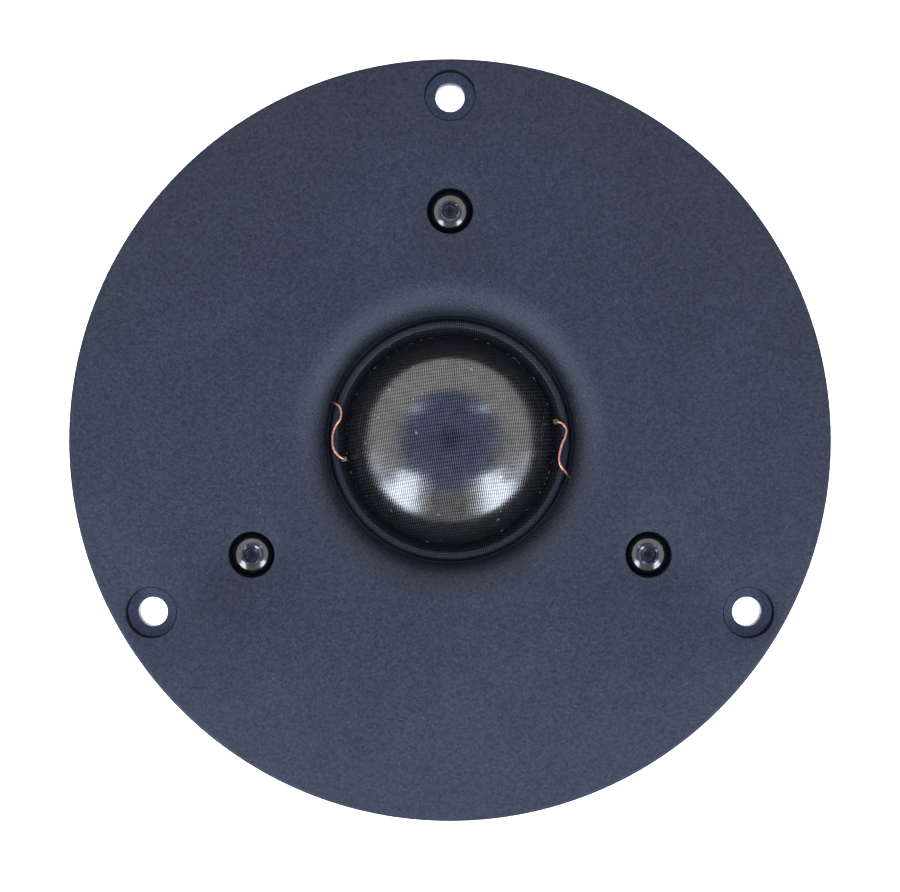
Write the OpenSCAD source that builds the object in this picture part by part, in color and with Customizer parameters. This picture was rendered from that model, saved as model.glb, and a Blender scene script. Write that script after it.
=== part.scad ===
// Soft dome tweeter: round aluminium faceplate, coated cloth dome with its half-roll surround,
// voice coil with two bare lead-out wires, ferrite motor and a closed rear chamber.
// The axis of the tweeter is +Z and the dome faces up.
// z = 0 is the rear face of the faceplate, the face that sits on the panel.

/* [Faceplate] */
// Outside diameter of the faceplate
plate_d = 104; // [102:1:108]
// Thickness of the faceplate
plate_t = 5; // [4.75:0.25:5.25]
// Radius of the throat that opens onto the surround
throat_r = 17.2; // [17.1:0.05:17.3]
// Radius of the rounded horn mouth
flare_r = 5.05; // [5.05:0.05:5.25]
// Chamfer on the front outer edge
edge_chamfer = 0.4; // [0.2:0.1:0.8]

/* [Mounting holes] */
// Diameter of the circle the mounting holes lie on
mount_pcd = 94; // [93.5:0.25:95]
// Diameter of a mounting hole
mount_hole_d = 4; // [3.5:0.1:4.4]
// Diameter of the recess around a mounting hole
mount_recess_d = 6.8; // [6.4:0.1:7.2]
// Depth of the recess around a mounting hole
mount_recess_depth = 2; // [1.5:0.1:2.5]

/* [Assembly screws] */
// Diameter of the circle the screws lie on
screw_pcd = 62.5; // [61:0.5:64]
// Diameter of the counterbore a screw head sits in
counterbore_d = 6.3; // [6:0.1:7]
// Depth of the counterbore
counterbore_depth = 1.7; // [1.65:0.05:2.2]
// Length of a screw under its head
screw_length = 10; // [8:1:10]

/* [Diaphragm] */
// Spherical radius of the outside of the dome
dome_sphere_r = 18; // [17:0.5:19]
// Thickness of the coated cloth
cloth_t = 0.25; // [0.2:0.05:0.3]
// Outside radius of the top of the surround's roll
roll_r = 0.65; // [0.55:0.05:0.65]

/* [Voice coil] */
// Height of the winding
winding_h = 3; // [2:0.5:3.5]
// Height of the coil former
former_h = 8.4; // [8:0.2:10]

/* [Motor] */
// Diameter of the top plate and the magnet
magnet_d = 72; // [70:1:72]
// Thickness of the magnet
magnet_t = 15; // [12:1:18]
// Thickness of the top plate and of the yoke's back plate
steel_t = 5; // [4.5:0.5:6]
// Diameter of the vent through the pole
vent_d = 10; // [6:1:12]

/* [Rear chamber] */
// Outside diameter of the rear cup
cup_d = 64; // [58:1:66]
// Height of the rear cup
cup_h = 21; // [16:1:30]
// Wall of the rear cup
cup_wall = 2; // [1.5:0.25:3]

/* [Terminals] */
// Angle of the positive lead-out and its terminal; the negative one is opposite
lead_angle = 162; // [158:1:164]
// Width of the positive tab
positive_tab_w = 4.8; // [4:0.1:4.8]
// Width of the negative tab
negative_tab_w = 2.8; // [2.8:0.1:3.5]

/* [Hidden] */

$fn = 96;
eps = 0.01;
// How far a cutting shape stands out past the face it opens
past = 1;

// Faceplate
plate_r = plate_d / 2;
rear_chamfer = 0.2;
mount_recess_chamfer = 0.1;
groove_in_r = 41.9;
groove_out_r = 44.1;
groove_depth = 1;
gasket_gap = 0.1;
channel_w = 1.6;
channel_h = 1;
channel_end = 27;

// Fixing positions, counted round the axis
fixing_count = 3;
fixing_start = 90;
mount_r = mount_pcd / 2;
screw_r = screw_pcd / 2;

// Button head screw M3
head_d = 5.7;
head_h = 1.65;
head_sphere_r = 4;
head_rim_d = 2.6;
shank_d = 3;
shank_clear_d = 3.4;
hex_across_flats = 2;
hex_depth = 1;

// Locating pegs between chassis ring and faceplate
peg_r = 27;
peg_d = 2;
peg_h = 1.4;
peg_root = 1;
peg_start = 30;
peg_clear = 0.05;
peg_top_gap = 0.1;

// Diaphragm
roll_mid_r = 15.95;
roll_centre_z = 0.3;
inner_flank = 44;
outer_flank = 76;
dome_foot_r = 14.2;
dome_centre_z = -sqrt(dome_sphere_r * dome_sphere_r - dome_foot_r * dome_foot_r);
lip_in_r = roll_mid_r + roll_r;
lip_out_r = 20;
lip_gap = 0.05;

// Voice coil
former_in_r = 14;
former_out_r = 14.15;
winding_out_r = 14.5;
riser_w = 0.4;
riser_t = 0.2;

// Lead-out wires
wire_r = 0.17;
wire_sides = 8;
steps_per_span = 3;
dot_angle = 190;
dot_mid_r = 14.62;
dot_mid_z = 0.28;
dot_r = 0.5;
solder_mid_x = 24.7;
solder_r = 0.85;
solder_sink = 0.1;
wire_seat_z = -0.6;

// Chassis ring
ring_t = 3.5;
ring_z = -ring_t;
ring_r = 36;
block_x0 = 34;
block_x1 = 41;
block_w = 10;
block_z = -8;
block_gap = 0.2;
strip_start = 20.6;

// Terminals
strip_t = 0.5;
strip_top = -0.8;
strip_bottom = strip_top - strip_t;
strip_x0 = 23.6;
tab_x = 39.3;
tab_end_z = -15.5;
tab_hole_d = 1.4;
tab_hole_up = 3.6;
tab_tip = 0.8;
slot_gap = 0.1;
rivet_x = 30;
rivet_d = 1.4;
rivet_head_d = 2.4;
rivet_head_h = 0.4;
rivet_depth = 3.1;
mark_size = 3;
mark_bar_w = 0.5;
mark_t = 0.3;

// Motor
top_plate_z = ring_z - steel_t;
magnet_z = top_plate_z - magnet_t;
yoke_z = magnet_z - steel_t;
top_plate_bore_r = 14.9;
magnet_bore_r = 16;
magnet_chamfer = 0.6;
yoke_r = magnet_d / 2 - 1;
pole_r = 13.2;
pole_cap_r = 13.6;
pole_cap_top = 0.4;
pole_cap_h = 6.5;
steel_chamfer = 0.5;
yoke_chamfer = 1;
felt_r = 12.4;
felt_t = 2.2;
felt_chamfer = 0.5;
vent_felt_t = 7;
vent_felt_z = -14;

// Rear chamber
seal_t = 0.5;
cup_top_z = yoke_z - seal_t;
cup_bottom_z = cup_top_z - cup_h;
cup_corner_r = 4;
cup_flange_w = 2;
cup_flange_t = 2;
rear_felt_gap = 0.5;
rear_felt_room = 8;
rear_felt_t = cup_h - rear_felt_room;
rear_felt_low = 1.5;
rear_felt_high = 2;

// Copies of the children at the fixing positions
module at_fixings(radius, start) {
    for (i = [0 : fixing_count - 1])
        rotate([0, 0, start + i * 360 / fixing_count])
            translate([radius, 0, 0])
                children();
}

// Ring between two radii and two heights
module ring(r_in, r_out, z0, z1) {
    rotate_extrude()
        translate([r_in, z0])
            square([r_out - r_in, z1 - z0]);
}

// Disc with a chamfer on both outer edges and a plain bore
module chamfered_ring(r_in, r_out, z0, z1, c) {
    rotate_extrude()
        polygon([[r_in, z0], [r_out - c, z0], [r_out, z0 + c],
                 [r_out, z1 - c], [r_out - c, z1], [r_in, z1]]);
}

// ---------- Faceplate ----------

module plate_profile() {
    mouth_r = throat_r + flare_r;
    polygon([[mouth_r, 0], [plate_r - rear_chamfer, 0], [plate_r, rear_chamfer],
             [plate_r, plate_t - edge_chamfer], [plate_r - edge_chamfer, plate_t],
             [mouth_r, plate_t]]);
    intersection() {
        translate([mouth_r, plate_t - flare_r])
            circle(r = flare_r);
        translate([throat_r - eps, 0])
            square([flare_r + 2 * eps, plate_t + eps]);
    }
}

module mount_hole_cut() {
    translate([0, 0, -past])
        cylinder(d = mount_hole_d, h = plate_t + 2 * past);
    translate([0, 0, plate_t - mount_recess_depth])
        cylinder(d = mount_recess_d, h = mount_recess_depth + past);
    translate([0, 0, plate_t - mount_recess_chamfer])
        cylinder(d1 = mount_recess_d, d2 = mount_recess_d + 2 * mount_recess_chamfer,
                 h = mount_recess_chamfer + eps);
}

module screw_hole_cut() {
    translate([0, 0, -past])
        cylinder(d = shank_clear_d, h = plate_t + 2 * past);
    translate([0, 0, plate_t - counterbore_depth])
        cylinder(d = counterbore_d, h = counterbore_depth + past);
}

module lead_channel_cut() {
    translate([throat_r - past, -channel_w / 2, -past])
        cube([channel_end - throat_r + past, channel_w, channel_h + past]);
}

module faceplate() {
    color("#30343f")
        difference() {
            rotate_extrude()
                plate_profile();
            at_fixings(mount_r, fixing_start)
                mount_hole_cut();
            at_fixings(screw_r, fixing_start)
                screw_hole_cut();
            at_fixings(peg_r, peg_start)
                translate([0, 0, -past])
                    cylinder(d = peg_d + 2 * peg_clear, h = peg_h + peg_top_gap + past);
            ring(groove_in_r, groove_out_r, -past, groove_depth);
            for (side = [0, 180])
                rotate([0, 0, lead_angle + side])
                    lead_channel_cut();
        }
}

module faceplate_gasket() {
    color("#202020")
        ring(groove_in_r + gasket_gap, groove_out_r - gasket_gap, 0, groove_depth);
}

// Button head with a hexagon socket, seated at z = 0 with the shank below
module button_screw() {
    sphere_z = head_h - sqrt(head_sphere_r * head_sphere_r - head_rim_d * head_rim_d / 4);
    difference() {
        union() {
            rotate_extrude()
                intersection() {
                    translate([0, sphere_z])
                        circle(r = head_sphere_r);
                    square([head_d / 2, head_h]);
                }
            translate([0, 0, -screw_length])
                cylinder(d = shank_d, h = screw_length + eps);
        }
        translate([0, 0, head_h - hex_depth])
            cylinder(d = hex_across_flats / cos(30), h = hex_depth + past, $fn = 6);
    }
}

module faceplate_screws() {
    color("#101012")
        at_fixings(screw_r, fixing_start)
            translate([0, 0, plate_t - counterbore_depth])
                button_screw();
}

// ---------- Diaphragm ----------

module dome() {
    below = 4 * dome_sphere_r;
    color("#4a4e5a")
        difference() {
            translate([0, 0, dome_centre_z])
                sphere(r = dome_sphere_r);
            translate([0, 0, dome_centre_z])
                sphere(r = dome_sphere_r - cloth_t);
            translate([-below / 2, -below / 2, -below - cloth_t])
                cube(below);
        }
}

// Outline of the roll at a distance inside its outer face: a round top on two steep flanks
module roll_outline(inset) {
    r = roll_r - inset;
    inner_top = [roll_mid_r - r * sin(inner_flank), roll_centre_z + r * cos(inner_flank)];
    outer_top = [roll_mid_r + r * sin(outer_flank), roll_centre_z + r * cos(outer_flank)];
    foot_z = -cloth_t - inset;
    inner_foot_r = inner_top[0] - (inner_top[1] - foot_z) / tan(inner_flank);
    outer_foot_r = outer_top[0] + (outer_top[1] - foot_z) / tan(outer_flank);
    translate([roll_mid_r, roll_centre_z])
        circle(r = r);
    polygon([inner_top, [inner_foot_r, foot_z], [outer_foot_r, foot_z], outer_top]);
}

module surround() {
    color("#2c2e36")
        rotate_extrude() {
            difference() {
                intersection() {
                    roll_outline(0);
                    translate([roll_mid_r - 2 * roll_r, -cloth_t])
                        square([4 * roll_r, 4 * roll_r]);
                }
                roll_outline(cloth_t);
            }
            translate([lip_in_r, -cloth_t])
                square([lip_out_r - lip_in_r, cloth_t]);
        }
}

module coil_former() {
    color("#c9a24a")
        ring(former_in_r, former_out_r, -cloth_t - former_h, -cloth_t);
}

module coil_winding() {
    mid = ring_z - steel_t / 2;
    color("#b5651d")
        ring(former_out_r, winding_out_r, mid - winding_h / 2, mid + winding_h / 2);
}

// The two wire ends that climb the former from the winding to the glue dots
module coil_risers() {
    z0 = ring_z - steel_t / 2 + winding_h / 2;
    color("#b5651d")
        for (side = [0, 180])
            rotate([0, 0, dot_angle + side])
                intersection() {
                    ring(former_out_r, former_out_r + riser_t, z0, -cloth_t);
                    translate([former_out_r - past, -riser_w / 2, z0 - past])
                        cube([riser_t + 2 * past, riser_w, -cloth_t - z0 + 2 * past]);
                }
}

module lead_glue_dots() {
    color("#8a8a50")
        for (side = [0, 180])
            rotate([0, 0, dot_angle + side])
                difference() {
                    translate([dot_mid_r, 0, dot_mid_z])
                        sphere(r = dot_r);
                    translate([0, 0, dome_centre_z])
                        sphere(r = dome_sphere_r);
                    rotate_extrude()
                        roll_outline(0);
                    translate([dot_mid_r - 2 * dot_r, -2 * dot_r, -4 * dot_r])
                        cube(4 * dot_r);
                }
}

// ---------- Lead-out wires ----------

// Routes of the two wires as radius, angle past the lead angle, height
left_route = [[solder_mid_x, 0, wire_seat_z], [23.4, 0, -0.55], [21.6, 0, -0.05], [19.6, 0, 0.5],
              [17.4, 0, 0.65], [16.9, 0.1, 1], [16.4, 0.5, 1.3], [15.9, 1.3, 1.5],
              [15.5, 3.5, 1.55], [15.4, 7, 1.6], [15.9, 11, 1.65], [16.2, 16, 1.65],
              [16.1, 22, 1.6], [15.5, 26, 1.4], [15.1, 27.4, 1.1], [14.8, 28, 0.75]];
right_route = [[solder_mid_x, 0, wire_seat_z], [23.4, 0, -0.55], [21.6, 0, -0.05], [19.6, 0.3, 0.5],
               [17.4, 1.2, 0.65], [16.9, 1.9, 1], [16.4, 3, 1.3], [15.9, 4.2, 1.5],
               [15.4, 6.5, 1.55], [15.2, 10, 1.6], [15.4, 15.5, 1.65], [15.9, 20, 1.65],
               [16.1, 23.5, 1.6], [15.6, 26.5, 1.4], [15.1, 27.6, 1.1], [14.8, 28, 0.75]];

function on_circle(p) = [p[0] * cos(p[1]), p[0] * sin(p[1]), p[2]];

function point_at(points, i) = points[max(0, min(len(points) - 1, i))];

// Smooth curve through the points between point i and the next one
function curve(points, i, t) =
    let (a = point_at(points, i - 1), b = point_at(points, i),
         c = point_at(points, i + 1), d = point_at(points, i + 2))
    0.5 * (2 * b + (c - a) * t + (2 * a - 5 * b + 4 * c - d) * t * t
           + (3 * b - 3 * c + d - a) * t * t * t);

function smooth_line(points) =
    concat([for (i = [0 : len(points) - 2])
               for (k = [0 : steps_per_span - 1])
                   curve(points, i, k / steps_per_span)],
           [points[len(points) - 1]]);

function unit(v) = v / norm(v);

function heading(line, i) = unit(point_at(line, i + 1) - point_at(line, i - 1));

// Cross-section of the wire, kept upright along the route
function wire_ring(line, i) =
    let (h = heading(line, i), s = unit(cross([0, 0, 1], h)), u = cross(h, s))
    [for (k = [0 : wire_sides - 1])
        line[i] + wire_r * (cos(k * 360 / wire_sides) * s + sin(k * 360 / wire_sides) * u)];

module lead_wire(route) {
    line = smooth_line([for (p = route) on_circle(p)]);
    rings = len(line);
    points = [for (i = [0 : rings - 1]) for (p = wire_ring(line, i)) p];
    sides = [for (i = [0 : rings - 2])
                for (k = [0 : wire_sides - 1])
                    let (n = (k + 1) % wire_sides, a = i * wire_sides, b = a + wire_sides)
                    [a + n, a + k, b + k, b + n]];
    first = [for (k = [0 : wire_sides - 1]) k];
    last = [for (k = [wire_sides - 1 : -1 : 0]) (rings - 1) * wire_sides + k];
    polyhedron(points = points, faces = concat([first], sides, [last]));
}

module lead_wire_left() {
    color("#d29682")
        rotate([0, 0, lead_angle])
            lead_wire(left_route);
}

module lead_wire_right() {
    color("#d29682")
        rotate([0, 0, lead_angle + 180])
            lead_wire(right_route);
}

// Solder on the inner end of each terminal strip, with the wire's seat left open
module lead_solder_joints() {
    color("#c8ccd0")
        for (side = [0, 180])
            rotate([0, 0, lead_angle + side])
                difference() {
                    translate([solder_mid_x, 0, strip_top - solder_sink])
                        sphere(r = solder_r);
                    translate([solder_mid_x - 2 * solder_r, -2 * solder_r, strip_top - 4 * solder_r])
                        cube(4 * solder_r);
                    translate([solder_mid_x - 2 * solder_r, 0, wire_seat_z])
                        rotate([0, 90, 0])
                            cylinder(r = wire_r, h = 2 * solder_r);
                }
}

// ---------- Chassis ring and terminals ----------

module terminal_block() {
    difference() {
        translate([block_x0, -block_w / 2, block_z])
            cube([block_x1 - block_x0, block_w, -block_z]);
        translate([0, 0, block_z - past])
            cylinder(r = ring_r + block_gap, h = ring_z - block_z + past);
    }
}

// Space for one terminal: an open trench along the ring and a slot down through the block
module terminal_cut(tab_w) {
    w = tab_w + 2 * slot_gap;
    translate([strip_start, -w / 2, strip_bottom])
        cube([tab_x + strip_t + slot_gap - strip_start, w, past - strip_bottom]);
    translate([tab_x - slot_gap, -w / 2, block_z - past])
        cube([strip_t + 2 * slot_gap, w, 2 * past - block_z]);
    translate([rivet_x, 0, -rivet_depth])
        cylinder(d = rivet_d, h = rivet_depth);
}

module chassis_ring() {
    color("#1b1b1d")
        difference() {
            union() {
                ring(throat_r, ring_r, ring_z, 0);
                for (side = [0, 180])
                    rotate([0, 0, lead_angle + side])
                        terminal_block();
                at_fixings(peg_r, peg_start)
                    translate([0, 0, -peg_root])
                        cylinder(d = peg_d, h = peg_root + peg_h);
            }
            ring(throat_r - past, lip_out_r + lip_gap, -cloth_t, past);
            at_fixings(screw_r, fixing_start)
                translate([0, 0, ring_z - past])
                    cylinder(d = shank_clear_d, h = ring_t + 2 * past);
            rotate([0, 0, lead_angle])
                terminal_cut(positive_tab_w);
            rotate([0, 0, lead_angle + 180])
                terminal_cut(negative_tab_w);
        }
}

// Brass strip bent down into a push-on tab
module terminal(tab_w) {
    tip = tab_tip;
    difference() {
        union() {
            translate([strip_x0, -tab_w / 2, strip_bottom])
                cube([tab_x + strip_t - strip_x0, tab_w, strip_t]);
            translate([tab_x + strip_t, 0, 0])
                rotate([0, -90, 0])
                    linear_extrude(height = strip_t)
                        polygon([[strip_top, -tab_w / 2], [tab_end_z + tip, -tab_w / 2],
                                 [tab_end_z, -tab_w / 2 + tip], [tab_end_z, tab_w / 2 - tip],
                                 [tab_end_z + tip, tab_w / 2], [strip_top, tab_w / 2]]);
        }
        translate([rivet_x, 0, strip_bottom - past])
            cylinder(d = rivet_d, h = strip_t + 2 * past);
        translate([tab_x - past, 0, tab_end_z + tab_hole_up])
            rotate([0, 90, 0])
                cylinder(d = tab_hole_d, h = strip_t + 2 * past);
    }
}

module terminal_positive() {
    color("#c9b037")
        rotate([0, 0, lead_angle])
            terminal(positive_tab_w);
}

module terminal_negative() {
    color("#c9b037")
        rotate([0, 0, lead_angle + 180])
            terminal(negative_tab_w);
}

module terminal_rivets() {
    color("#b8b8b8")
        for (side = [0, 180])
            rotate([0, 0, lead_angle + side])
                translate([rivet_x, 0, 0]) {
                    translate([0, 0, -rivet_depth])
                        cylinder(d = rivet_d, h = rivet_depth + strip_top + eps);
                    translate([0, 0, strip_top])
                        cylinder(d = rivet_head_d, h = rivet_head_h);
                }
}

// Raised plus sign on the outside of the positive terminal block
module polarity_mark() {
    arm = mark_size / 2;
    bar = mark_bar_w;
    color("#b02020")
        rotate([0, 0, lead_angle])
            translate([block_x1, 0, block_z / 2]) {
                translate([0, -arm, -bar / 2])
                    cube([mark_t, 2 * arm, bar]);
                translate([0, -bar / 2, -arm])
                    cube([mark_t, bar, 2 * arm]);
            }
}

// ---------- Motor ----------

module top_plate() {
    color("#8a8d90")
        difference() {
            chamfered_ring(top_plate_bore_r, magnet_d / 2, top_plate_z, ring_z, steel_chamfer);
            at_fixings(screw_r, fixing_start)
                translate([0, 0, top_plate_z - past])
                    cylinder(d = shank_d, h = steel_t + 2 * past);
        }
}

module magnet() {
    color("#3a3a3c")
        chamfered_ring(magnet_bore_r, magnet_d / 2, magnet_z, top_plate_z, magnet_chamfer);
}

module yoke() {
    color("#8a8d90") {
        rotate_extrude() {
            polygon([[vent_d / 2, yoke_z], [yoke_r - yoke_chamfer, yoke_z], [yoke_r, yoke_z + yoke_chamfer],
                     [yoke_r, magnet_z - steel_chamfer], [yoke_r - steel_chamfer, magnet_z],
                     [pole_r, magnet_z], [pole_r, ring_z], [vent_d / 2, ring_z]]);
        }
    }
}

module pole_cap() {
    color("#b87333") {
        rotate_extrude() {
            polygon([[vent_d / 2, ring_z], [pole_r, ring_z],
                     [pole_r, ring_z - pole_cap_h + pole_cap_top],
                     [pole_cap_r, ring_z - pole_cap_h + pole_cap_top],
                     [pole_cap_r, ring_z + pole_cap_top], [vent_d / 2, ring_z + pole_cap_top]]);
        }
    }
}

module pole_felt() {
    z0 = ring_z + pole_cap_top;
    color("#6e6a64")
        chamfered_ring(vent_d / 2, felt_r, z0, z0 + felt_t, felt_chamfer);
}

module vent_felt() {
    color("#6e6a64")
        translate([0, 0, vent_felt_z])
            cylinder(d = vent_d, h = vent_felt_t);
}

// ---------- Rear chamber ----------

module rear_gasket() {
    color("#202020")
        ring(cup_d / 2 - cup_wall, cup_d / 2 + cup_flange_w, cup_top_z, yoke_z);
}

module rear_cup() {
    r_out = cup_d / 2;
    r_in = r_out - cup_wall;
    color("#1b1b1d")
        rotate_extrude() {
            difference() {
                union() {
                    translate([0, cup_bottom_z])
                        square([r_out - cup_corner_r, cup_h]);
                    translate([0, cup_bottom_z + cup_corner_r])
                        square([r_out, cup_h - cup_corner_r]);
                    translate([r_out - cup_corner_r, cup_bottom_z + cup_corner_r])
                        circle(r = cup_corner_r);
                    translate([0, cup_top_z - cup_flange_t])
                        square([r_out + cup_flange_w, cup_flange_t]);
                }
                translate([0, cup_bottom_z + cup_wall])
                    square([r_in, cup_h]);
            }
        }
}

module rear_felt() {
    z0 = cup_bottom_z + cup_wall;
    r_out = cup_d / 2 - cup_wall - rear_felt_gap;
    color("#8c8a86")
        rotate_extrude()
            polygon([[0, z0], [r_out - rear_felt_low, z0], [r_out, z0 + rear_felt_low],
                     [r_out, z0 + rear_felt_t - rear_felt_high], [r_out - rear_felt_high, z0 + rear_felt_t],
                     [0, z0 + rear_felt_t]]);
}

faceplate();
faceplate_screws();
faceplate_gasket();
dome();
surround();
coil_former();
coil_winding();
coil_risers();
lead_glue_dots();
lead_wire_left();
lead_wire_right();
lead_solder_joints();
chassis_ring();
terminal_positive();
terminal_negative();
terminal_rivets();
polarity_mark();
top_plate();
magnet();
yoke();
pole_cap();
pole_felt();
vent_felt();
rear_gasket();
rear_cup();
rear_felt();
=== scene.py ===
"""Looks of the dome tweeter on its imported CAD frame. Sizes are in millimetres, scene objects in metres."""
import math

import bpy
import bmesh
from mathutils import Matrix, Vector
from mathutils.geometry import delaunay_2d_cdt
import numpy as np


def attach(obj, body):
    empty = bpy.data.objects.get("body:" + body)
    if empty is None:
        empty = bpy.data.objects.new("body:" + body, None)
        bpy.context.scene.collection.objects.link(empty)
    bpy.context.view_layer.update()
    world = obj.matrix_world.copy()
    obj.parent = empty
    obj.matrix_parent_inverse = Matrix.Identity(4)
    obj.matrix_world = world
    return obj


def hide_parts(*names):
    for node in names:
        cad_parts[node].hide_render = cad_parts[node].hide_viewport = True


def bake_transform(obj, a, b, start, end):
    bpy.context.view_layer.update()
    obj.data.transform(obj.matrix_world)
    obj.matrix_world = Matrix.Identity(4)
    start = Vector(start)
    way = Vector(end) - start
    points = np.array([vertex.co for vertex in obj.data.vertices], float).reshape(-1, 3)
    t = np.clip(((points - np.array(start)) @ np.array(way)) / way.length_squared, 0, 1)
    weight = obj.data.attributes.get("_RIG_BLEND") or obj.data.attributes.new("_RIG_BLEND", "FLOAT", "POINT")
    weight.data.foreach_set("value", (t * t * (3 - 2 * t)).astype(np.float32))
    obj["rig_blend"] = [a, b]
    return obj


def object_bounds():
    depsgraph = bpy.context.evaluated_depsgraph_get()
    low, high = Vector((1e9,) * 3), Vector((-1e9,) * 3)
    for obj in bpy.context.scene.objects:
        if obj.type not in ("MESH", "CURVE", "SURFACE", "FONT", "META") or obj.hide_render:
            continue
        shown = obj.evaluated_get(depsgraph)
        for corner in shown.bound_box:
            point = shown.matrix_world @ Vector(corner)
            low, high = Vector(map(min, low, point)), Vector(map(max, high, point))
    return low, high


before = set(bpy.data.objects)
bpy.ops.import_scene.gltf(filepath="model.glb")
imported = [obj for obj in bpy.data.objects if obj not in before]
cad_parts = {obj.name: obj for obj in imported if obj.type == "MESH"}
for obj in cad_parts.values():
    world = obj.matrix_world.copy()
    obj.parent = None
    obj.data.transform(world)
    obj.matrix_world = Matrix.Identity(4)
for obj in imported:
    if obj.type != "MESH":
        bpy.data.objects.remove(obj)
cad_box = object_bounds()

MM = 0.001
FIXED = "motor_unit"
MOVING = "diaphragm"

# Shared sizes, in millimetres, as in the CAD
PLATE_R = 52.0
PLATE_T = 5.0
THROAT_R = 17.2
FLARE_R = 5.05
MOUTH_R = THROAT_R + FLARE_R
MOUNT_R = 47.0
MOUNT_HOLE_R = 2.0
RECESS_R = 3.4
RECESS_Z = 3.0
SCREW_R = 31.25
SCREW_HOLE_R = 1.70
COUNTERBORE_R = 3.15
SEAT_Z = 3.3
GROOVE_OUTER_R = 44.1
GROOVE_INNER_R = 41.9
GROOVE_DEPTH = 1.0
FIXING_ANGLES = (90.0, 210.0, 330.0)
LEAD_ANGLE = 162.0
DOT_ANGLE = 190.0
DOME_R = 18.0
DOME_BASE_R = 14.2
DOME_CENTRE = -math.sqrt(DOME_R ** 2 - DOME_BASE_R ** 2)
DOME_EDGE = 14.42
SEAM_R = 14.41
SEAM_Z = -0.20
SEAM_BEAD_R = 0.08
CLOTH = 0.25
ROLL_MID = 15.95
ROLL_R = 0.65
ROLL_Z = 0.3
INNER_FLANK = math.radians(44.0)
OUTER_FLANK = math.radians(76.0)
FOOT_FILLET = 0.25
LIP_R = 20.0
FLOOR_Z = cad_box[0][2]

# Pitch of the cloth's threads and ribs and the height of their relief, in metres
THREAD_PITCH = 0.000293
RIB_PITCH = 0.00053
WEAVE_RISE = 0.00003

# The dome's arc is 1 + DOME_SPREAD times the square of the radius, in metres, as long as that radius
DOME_SPREAD = 514.0


# ---------- Mesh helpers ----------

def new_object(name, verts, faces, materials, smooth_angle=35.0, face_slots=None):
    """Mesh object from points in millimetres, shaded smooth up to an angle."""
    mesh = bpy.data.meshes.new(name)
    mesh.from_pydata([Vector(v) * MM for v in verts], [], faces)
    mesh.validate()
    bm = bmesh.new()
    bm.from_mesh(mesh)
    bmesh.ops.remove_doubles(bm, verts=bm.verts, dist=1e-7)
    bmesh.ops.recalc_face_normals(bm, faces=bm.faces)
    bm.to_mesh(mesh)
    bm.free()
    mesh.polygons.foreach_set("use_smooth", [True] * len(mesh.polygons))
    mesh.set_sharp_from_angle(angle=math.radians(smooth_angle))
    obj = bpy.data.objects.new(name, mesh)
    bpy.context.scene.collection.objects.link(obj)
    for material in materials:
        mesh.materials.append(material)
    if face_slots:
        for face in mesh.polygons:
            face.material_index = face_slots(face)
    return obj


def round_corners(points, radius, steps=4):
    """Closed (r, z) outline with each corner replaced by a small arc. Almost straight corners stay."""
    out = []
    count = len(points)
    for i, (x, y) in enumerate(points):
        before = Vector(points[i - 1]) - Vector((x, y))
        after = Vector(points[(i + 1) % count]) - Vector((x, y))
        half = before.angle(after) / 2
        if half > math.radians(85):
            out.append((x, y))
            continue
        reach = min(radius / math.tan(half), before.length * 0.45, after.length * 0.45)
        r = reach * math.tan(half)
        a = Vector((x, y)) + before.normalized() * reach
        b = Vector((x, y)) + after.normalized() * reach
        inwards = (before.normalized() + after.normalized()).normalized()
        centre = Vector((x, y)) + inwards * r / math.sin(half)
        va = a - centre
        turn = va.angle_signed(b - centre)
        for k in range(steps + 1):
            angle = -turn * k / steps
            c = math.cos(angle)
            s = math.sin(angle)
            out.append((centre.x + va.x * c - va.y * s, centre.y + va.x * s + va.y * c))
    return out


def distinct(indices):
    """Indices in their order, without repeats."""
    return list(dict.fromkeys(indices))


def lathe(points, segments, closed=True):
    """Verts and faces of a ring swept from an (r, z) outline. Points on the axis become one vertex."""
    verts = []
    rings = []
    for r, z in points:
        if r < 1e-6:
            rings.append([len(verts)] * segments)
            verts.append((0, 0, z))
            continue
        start = len(verts)
        for k in range(segments):
            a = 2 * math.pi * k / segments
            verts.append((r * math.cos(a), r * math.sin(a), z))
        rings.append(list(range(start, start + segments)))
    faces = []
    pairs = len(rings) if closed else len(rings) - 1
    for i in range(pairs):
        a = rings[i]
        b = rings[(i + 1) % len(rings)]
        for k in range(segments):
            n = (k + 1) % segments
            face = distinct((a[k], a[n], b[n], b[k]))
            if len(face) > 2:
                faces.append(face)
    return verts, faces


def circle_loop(centre, r, count):
    """Points of a circle in the plane."""
    turns = [2 * math.pi * k / count for k in range(count)]
    return [(centre[0] + r * math.cos(a), centre[1] + r * math.sin(a)) for a in turns]


def flat_face(outer, holes, z):
    """Triangulated flat face at height z with an outer loop and round holes."""
    points = []
    edges = []
    for loop in [outer] + holes:
        start = len(points)
        points += [Vector(p) for p in loop]
        edges += [(start + k, start + (k + 1) % len(loop)) for k in range(len(loop))]
    verts, _, faces, _, _, _ = delaunay_2d_cdt(points, edges, [], 1, 1e-7)
    keep = []
    for face in faces:
        centre = sum((verts[i] for i in face), Vector((0, 0))) / len(face)
        if not any(inside(centre, hole) for hole in holes):
            keep.append(face)
    return [(v.x, v.y, z) for v in verts], keep


def inside(point, loop):
    """True if a point lies inside a round loop."""
    centre = sum((Vector(p) for p in loop), Vector((0, 0))) / len(loop)
    return (point - centre).length < (Vector(loop[0]) - centre).length * 0.9999


def placed(verts, cx, cy):
    """Verts moved sideways."""
    return [(x + cx, y + cy, z) for x, y, z in verts]


def joined(*parts):
    """One list of verts and faces from several."""
    verts = []
    faces = []
    for part_verts, part_faces in parts:
        start = len(verts)
        verts += part_verts
        faces += [[start + i for i in face] for face in part_faces]
    return verts, faces


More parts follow.
